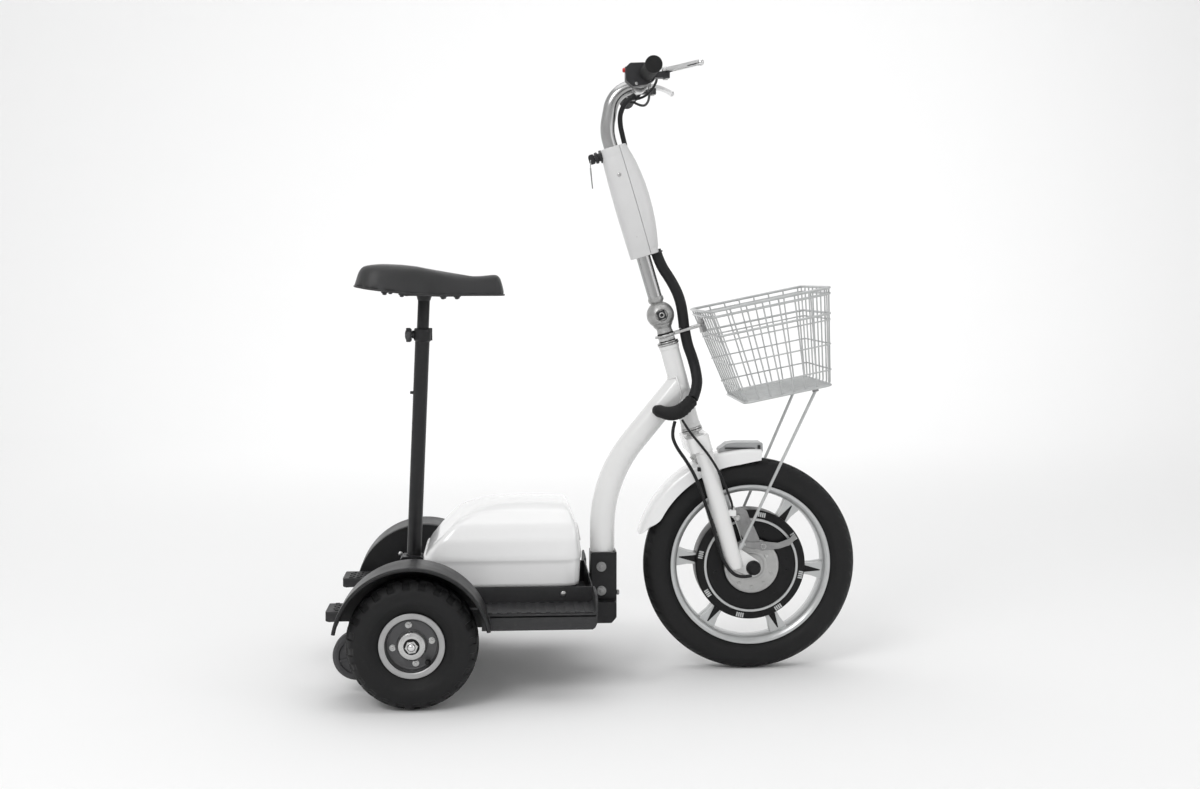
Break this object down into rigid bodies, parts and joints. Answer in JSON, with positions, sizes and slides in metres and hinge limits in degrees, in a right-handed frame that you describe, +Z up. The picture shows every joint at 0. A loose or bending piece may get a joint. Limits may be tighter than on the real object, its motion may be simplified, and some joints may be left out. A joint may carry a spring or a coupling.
{
  "type": "three-wheeled electric mobility scooter",
  "caption": "Three-wheeled electric mobility scooter: hub-motor front wheel, saddle on a telescopic post, folding swan-neck stem and front wire basket.",
  "frame": {"origin": "middle of the bounding box on the ground plane, on the centre plane between the rear wheels", "axes": "+X forward in the travel direction, +Y to the rider's left, +Z up"},
  "size_m": [1.053, 0.602, 1.199],
  "materials": {
    "white_paint": "gloss white enamel",
    "black_paint": "satin black",
    "steel": "satin",
    "chrome": "polished",
    "cast_alloy": "cast, satin",
    "grey_rim": "steel grey",
    "tyre": "moulded tread",
    "rubber": "soft",
    "black_plastic": "grained",
    "white_plastic": "glossy",
    "grey_plastic": "satin",
    "basket_wire": "plastic-dipped wire",
    "saddle_vinyl": "soft-grain vinyl",
    "red_plastic": "glossy",
    "battery_case": "moulded"
  },
  "bodies": {
    "chassis": {"down_tube": "white_paint", "head_tube": "white_paint", "headset_cups": "steel", "front_bracket": "black_paint", "chassis_fasteners": "steel", "chassis_frame": "black_paint", "rear_axle": "steel", "deck_tray": "black_plastic", "battery_pack": "battery_case", "motor_controller": "cast_alloy", "body_cover": "white_plastic", "running_board_right": "black_plastic", "running_board_left": "black_plastic", "rear_fender_right": "black_plastic", "rear_fender_left": "black_plastic", "antitip_arms": "black_paint", "seat_socket": "black_paint", "seat_tube": "black_paint", "cable_boot": "rubber"},
    "seat": {"seat_post": "black_paint", "saddle": "saddle_vinyl"},
    "seat_clamp": {"seat_knob": "grey_plastic"},
    "fork_assembly": {"fork": "white_paint", "fork_hardware": "steel", "hub_axle_stator": "steel", "front_fender": "white_plastic", "front_lamp": "grey_plastic", "brake_plate": "cast_alloy", "basket": "basket_wire", "basket_supports": "steel", "fold_yoke": "cast_alloy", "fold_pin": "steel", "motor_cable": "rubber", "brake_cable": "rubber", "loom_lower": "rubber"},
    "brake_cam": {"brake_arm": "steel"},
    "front_wheel": {"front_tyre": "tyre", "front_rim": "cast_alloy", "motor_cover": "black_paint"},
    "rear_wheel_right": {"rear_tyre_right": "tyre", "rear_rim_right": "grey_rim"},
    "rear_wheel_left": {"rear_tyre_left": "tyre", "rear_rim_left": "grey_rim"},
    "antitip_right": {"antitip_roller_right": "rubber"},
    "antitip_left": {"antitip_roller_left": "rubber"},
    "stem": {"stem_tube": "chrome", "handlebar": "black_paint", "post_cover_front": "white_plastic", "post_cover_rear": "white_plastic", "key_switch": "black_plastic", "grip_left": "rubber", "control_pod": "black_plastic", "brake_perches": "black_plastic", "control_cables": "rubber", "loom_upper": "rubber"},
    "throttle": {"grip_right": "rubber"},
    "start_button": {"power_button": "red_plastic"},
    "ignition_key": {"key": "steel"},
    "lever_right": {"brake_lever_right": "cast_alloy"},
    "lever_left": {"brake_lever_left": "cast_alloy"}
  },
  "joints": [
    {"name": "steering", "type": "hinge", "parent": "chassis", "child": "fork_assembly", "pos_m": [0.1905, 0, 0.4953], "axis": [-0.2677, 0, 0.9635], "range_deg": [-45, 45], "deforming": ["loom_lower", "motor_cable", "brake_cable"]},
    {"name": "front_wheel_spin", "type": "hinge", "parent": "fork_assembly", "child": "front_wheel", "pos_m": [0.31, 0, 0.2165], "axis": [0, 1, 0], "continuous": true},
    {"name": "stem_fold", "type": "hinge", "parent": "fork_assembly", "child": "stem", "pos_m": [0.12731, 0, 0.72268], "axis": [0, -1, 0], "range_deg": [0, 40], "deforming": ["loom_upper"]},
    {"name": "rear_wheel_right_spin", "type": "hinge", "parent": "chassis", "child": "rear_wheel_right", "pos_m": [-0.36, -0.255, 0.123], "axis": [0, 1, 0], "continuous": true},
    {"name": "rear_wheel_left_spin", "type": "hinge", "parent": "chassis", "child": "rear_wheel_left", "pos_m": [-0.36, 0.255, 0.123], "axis": [0, 1, 0], "continuous": true},
    {"name": "antitip_right_spin", "type": "hinge", "parent": "chassis", "child": "antitip_right", "pos_m": [-0.471, -0.153, 0.076], "axis": [0, 1, 0], "continuous": true},
    {"name": "antitip_left_spin", "type": "hinge", "parent": "chassis", "child": "antitip_left", "pos_m": [-0.471, 0.153, 0.076], "axis": [0, 1, 0], "continuous": true},
    {"name": "seat_height", "type": "slide", "parent": "chassis", "child": "seat", "axis": [0.0476, 0, 0.9989], "range_m": [-0.035, 0.1]},
    {"name": "seat_clamp_turn", "type": "hinge", "parent": "chassis", "child": "seat_clamp", "pos_m": [-0.36932, 0, 0.68361], "axis": [-1, 0, 0], "range_deg": [0, 360]},
    {"name": "brake_lever_right_pull", "type": "hinge", "parent": "stem", "child": "lever_right", "pos_m": [0.122, -0.126, 1.19], "axis": [0, 0, -1], "range_deg": [0, 20], "stiffness_Nm_per_rad": 1.2, "springref_deg": -6.88},
    {"name": "brake_lever_left_pull", "type": "hinge", "parent": "stem", "child": "lever_left", "pos_m": [0.122, 0.126, 1.19], "axis": [0, 0, 1], "range_deg": [0, 20], "stiffness_Nm_per_rad": 1.2, "springref_deg": -6.88},
    {"name": "brake_cam_turn", "type": "hinge", "parent": "fork_assembly", "child": "brake_cam", "pos_m": [0.332, -0.046, 0.258], "axis": [0, 1, 0], "range_deg": [0, 14]},
    {"name": "throttle_twist", "type": "hinge", "parent": "stem", "child": "throttle", "pos_m": [0.083, -0.235, 1.18], "axis": [0, -1, 0], "range_deg": [0, 60], "stiffness_Nm_per_rad": 0.3, "springref_deg": -14.32},
    {"name": "start_button_press", "type": "slide", "parent": "stem", "child": "start_button", "axis": [1, 0, 0], "range_m": [0, 0.0025], "stiffness_N_per_m": 900, "springref_m": -0.001},
    {"name": "key_turn", "type": "hinge", "parent": "stem", "child": "ignition_key", "pos_m": [0.00225, 0, 1.03598], "axis": [-0.958, 0, -0.2867], "range_deg": [0, 90]}
  ],
  "couplings": [
    {"joint": "brake_cam_turn", "follows": "brake_lever_right_pull", "ratio": 0.7}
  ]
}
